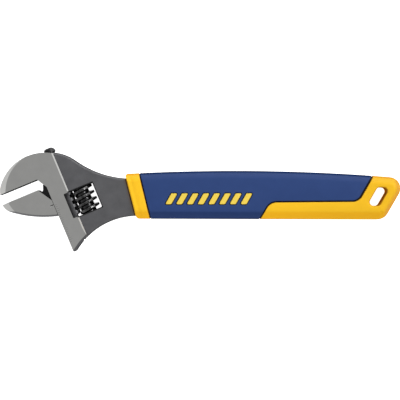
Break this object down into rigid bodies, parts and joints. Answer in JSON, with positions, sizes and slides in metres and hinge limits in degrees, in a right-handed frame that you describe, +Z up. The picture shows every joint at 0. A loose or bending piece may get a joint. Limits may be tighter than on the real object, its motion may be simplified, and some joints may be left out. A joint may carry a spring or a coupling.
{
  "type": "adjustable wrench",
  "caption": "Adjustable wrench with a worm-driven sliding jaw and a two-part moulded grip with a hang slot.",
  "frame": {"origin": "centre of the whole tool's outline, at the underside of the grip, with the wrench lying flat", "axes": "+X along the handle away from the jaws, +Y towards the fixed jaw's side of the head, +Z up, out of the upper face"},
  "size_m": [0.3076, 0.08, 0.02],
  "materials": {
    "forged_steel": "ground flats, dark forged web",
    "jaw_steel": "ground flats, black oxide rod",
    "black_oxide": "black oxide, oiled",
    "spring_steel": "bright",
    "yellow_moulding": "satin",
    "blue_moulding": "fine matt grain",
    "pale_yellow": "satin"
  },
  "bodies": {
    "handle": {"body": "forged_steel", "worm_pin": "black_oxide", "worm_spring": "spring_steel", "grip_base": "yellow_moulding", "grip_shell": "blue_moulding", "grip_inlays": "pale_yellow"},
    "worm": {"adjusting_worm": "black_oxide"},
    "jaw": {"movable_jaw": "jaw_steel"}
  },
  "joints": [
    {"name": "worm_spin", "type": "hinge", "parent": "handle", "child": "worm", "pos_m": [-0.0886, 0.0001, 0.01], "axis": [0.3827, -0.9239, 0], "range_deg": [-2141, 546]},
    {"name": "jaw_slide", "type": "slide", "parent": "handle", "child": "jaw", "axis": [-0.3827, 0.9239, 0], "range_m": [-0.0302, 0.0077]}
  ],
  "couplings": [
    {"joint": "worm_spin", "follows": "jaw_slide", "rad_per_m": 1236.8}
  ]
}
